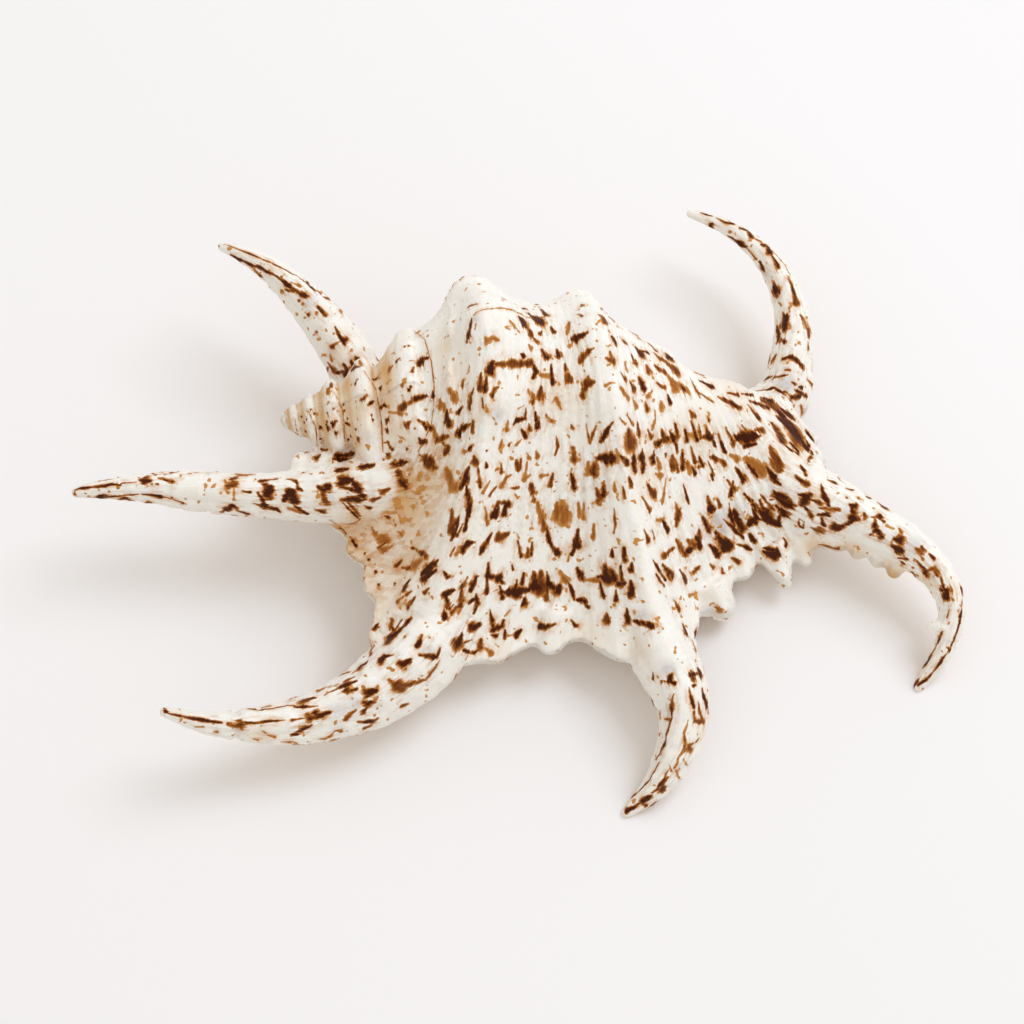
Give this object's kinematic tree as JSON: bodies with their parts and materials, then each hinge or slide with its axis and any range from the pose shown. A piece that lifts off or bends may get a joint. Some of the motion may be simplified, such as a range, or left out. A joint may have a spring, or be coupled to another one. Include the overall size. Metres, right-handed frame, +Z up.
{
  "type": "chiragra spider conch shell",
  "caption": "Large sea snail shell with a low spire, knobbed ribs, a flared lip and long curved digits, lying mouth down as an ornament.",
  "frame": {"origin": "centre of the bounding box in plan, on the plane that the shell rests on", "axes": "+X towards the canal, with the spire at -X; +Y away from the flared lip; +Z up, away from the mouth side"},
  "size_m": [0.1759, 0.1232, 0.0548],
  "materials": {
    "shell": "cream white porcelain-like shell with dark brown and orange brown flecks and blotches, semi-gloss"
  },
  "bodies": {
    "root": {"shell": "shell"}
  },
  "joints": []
}
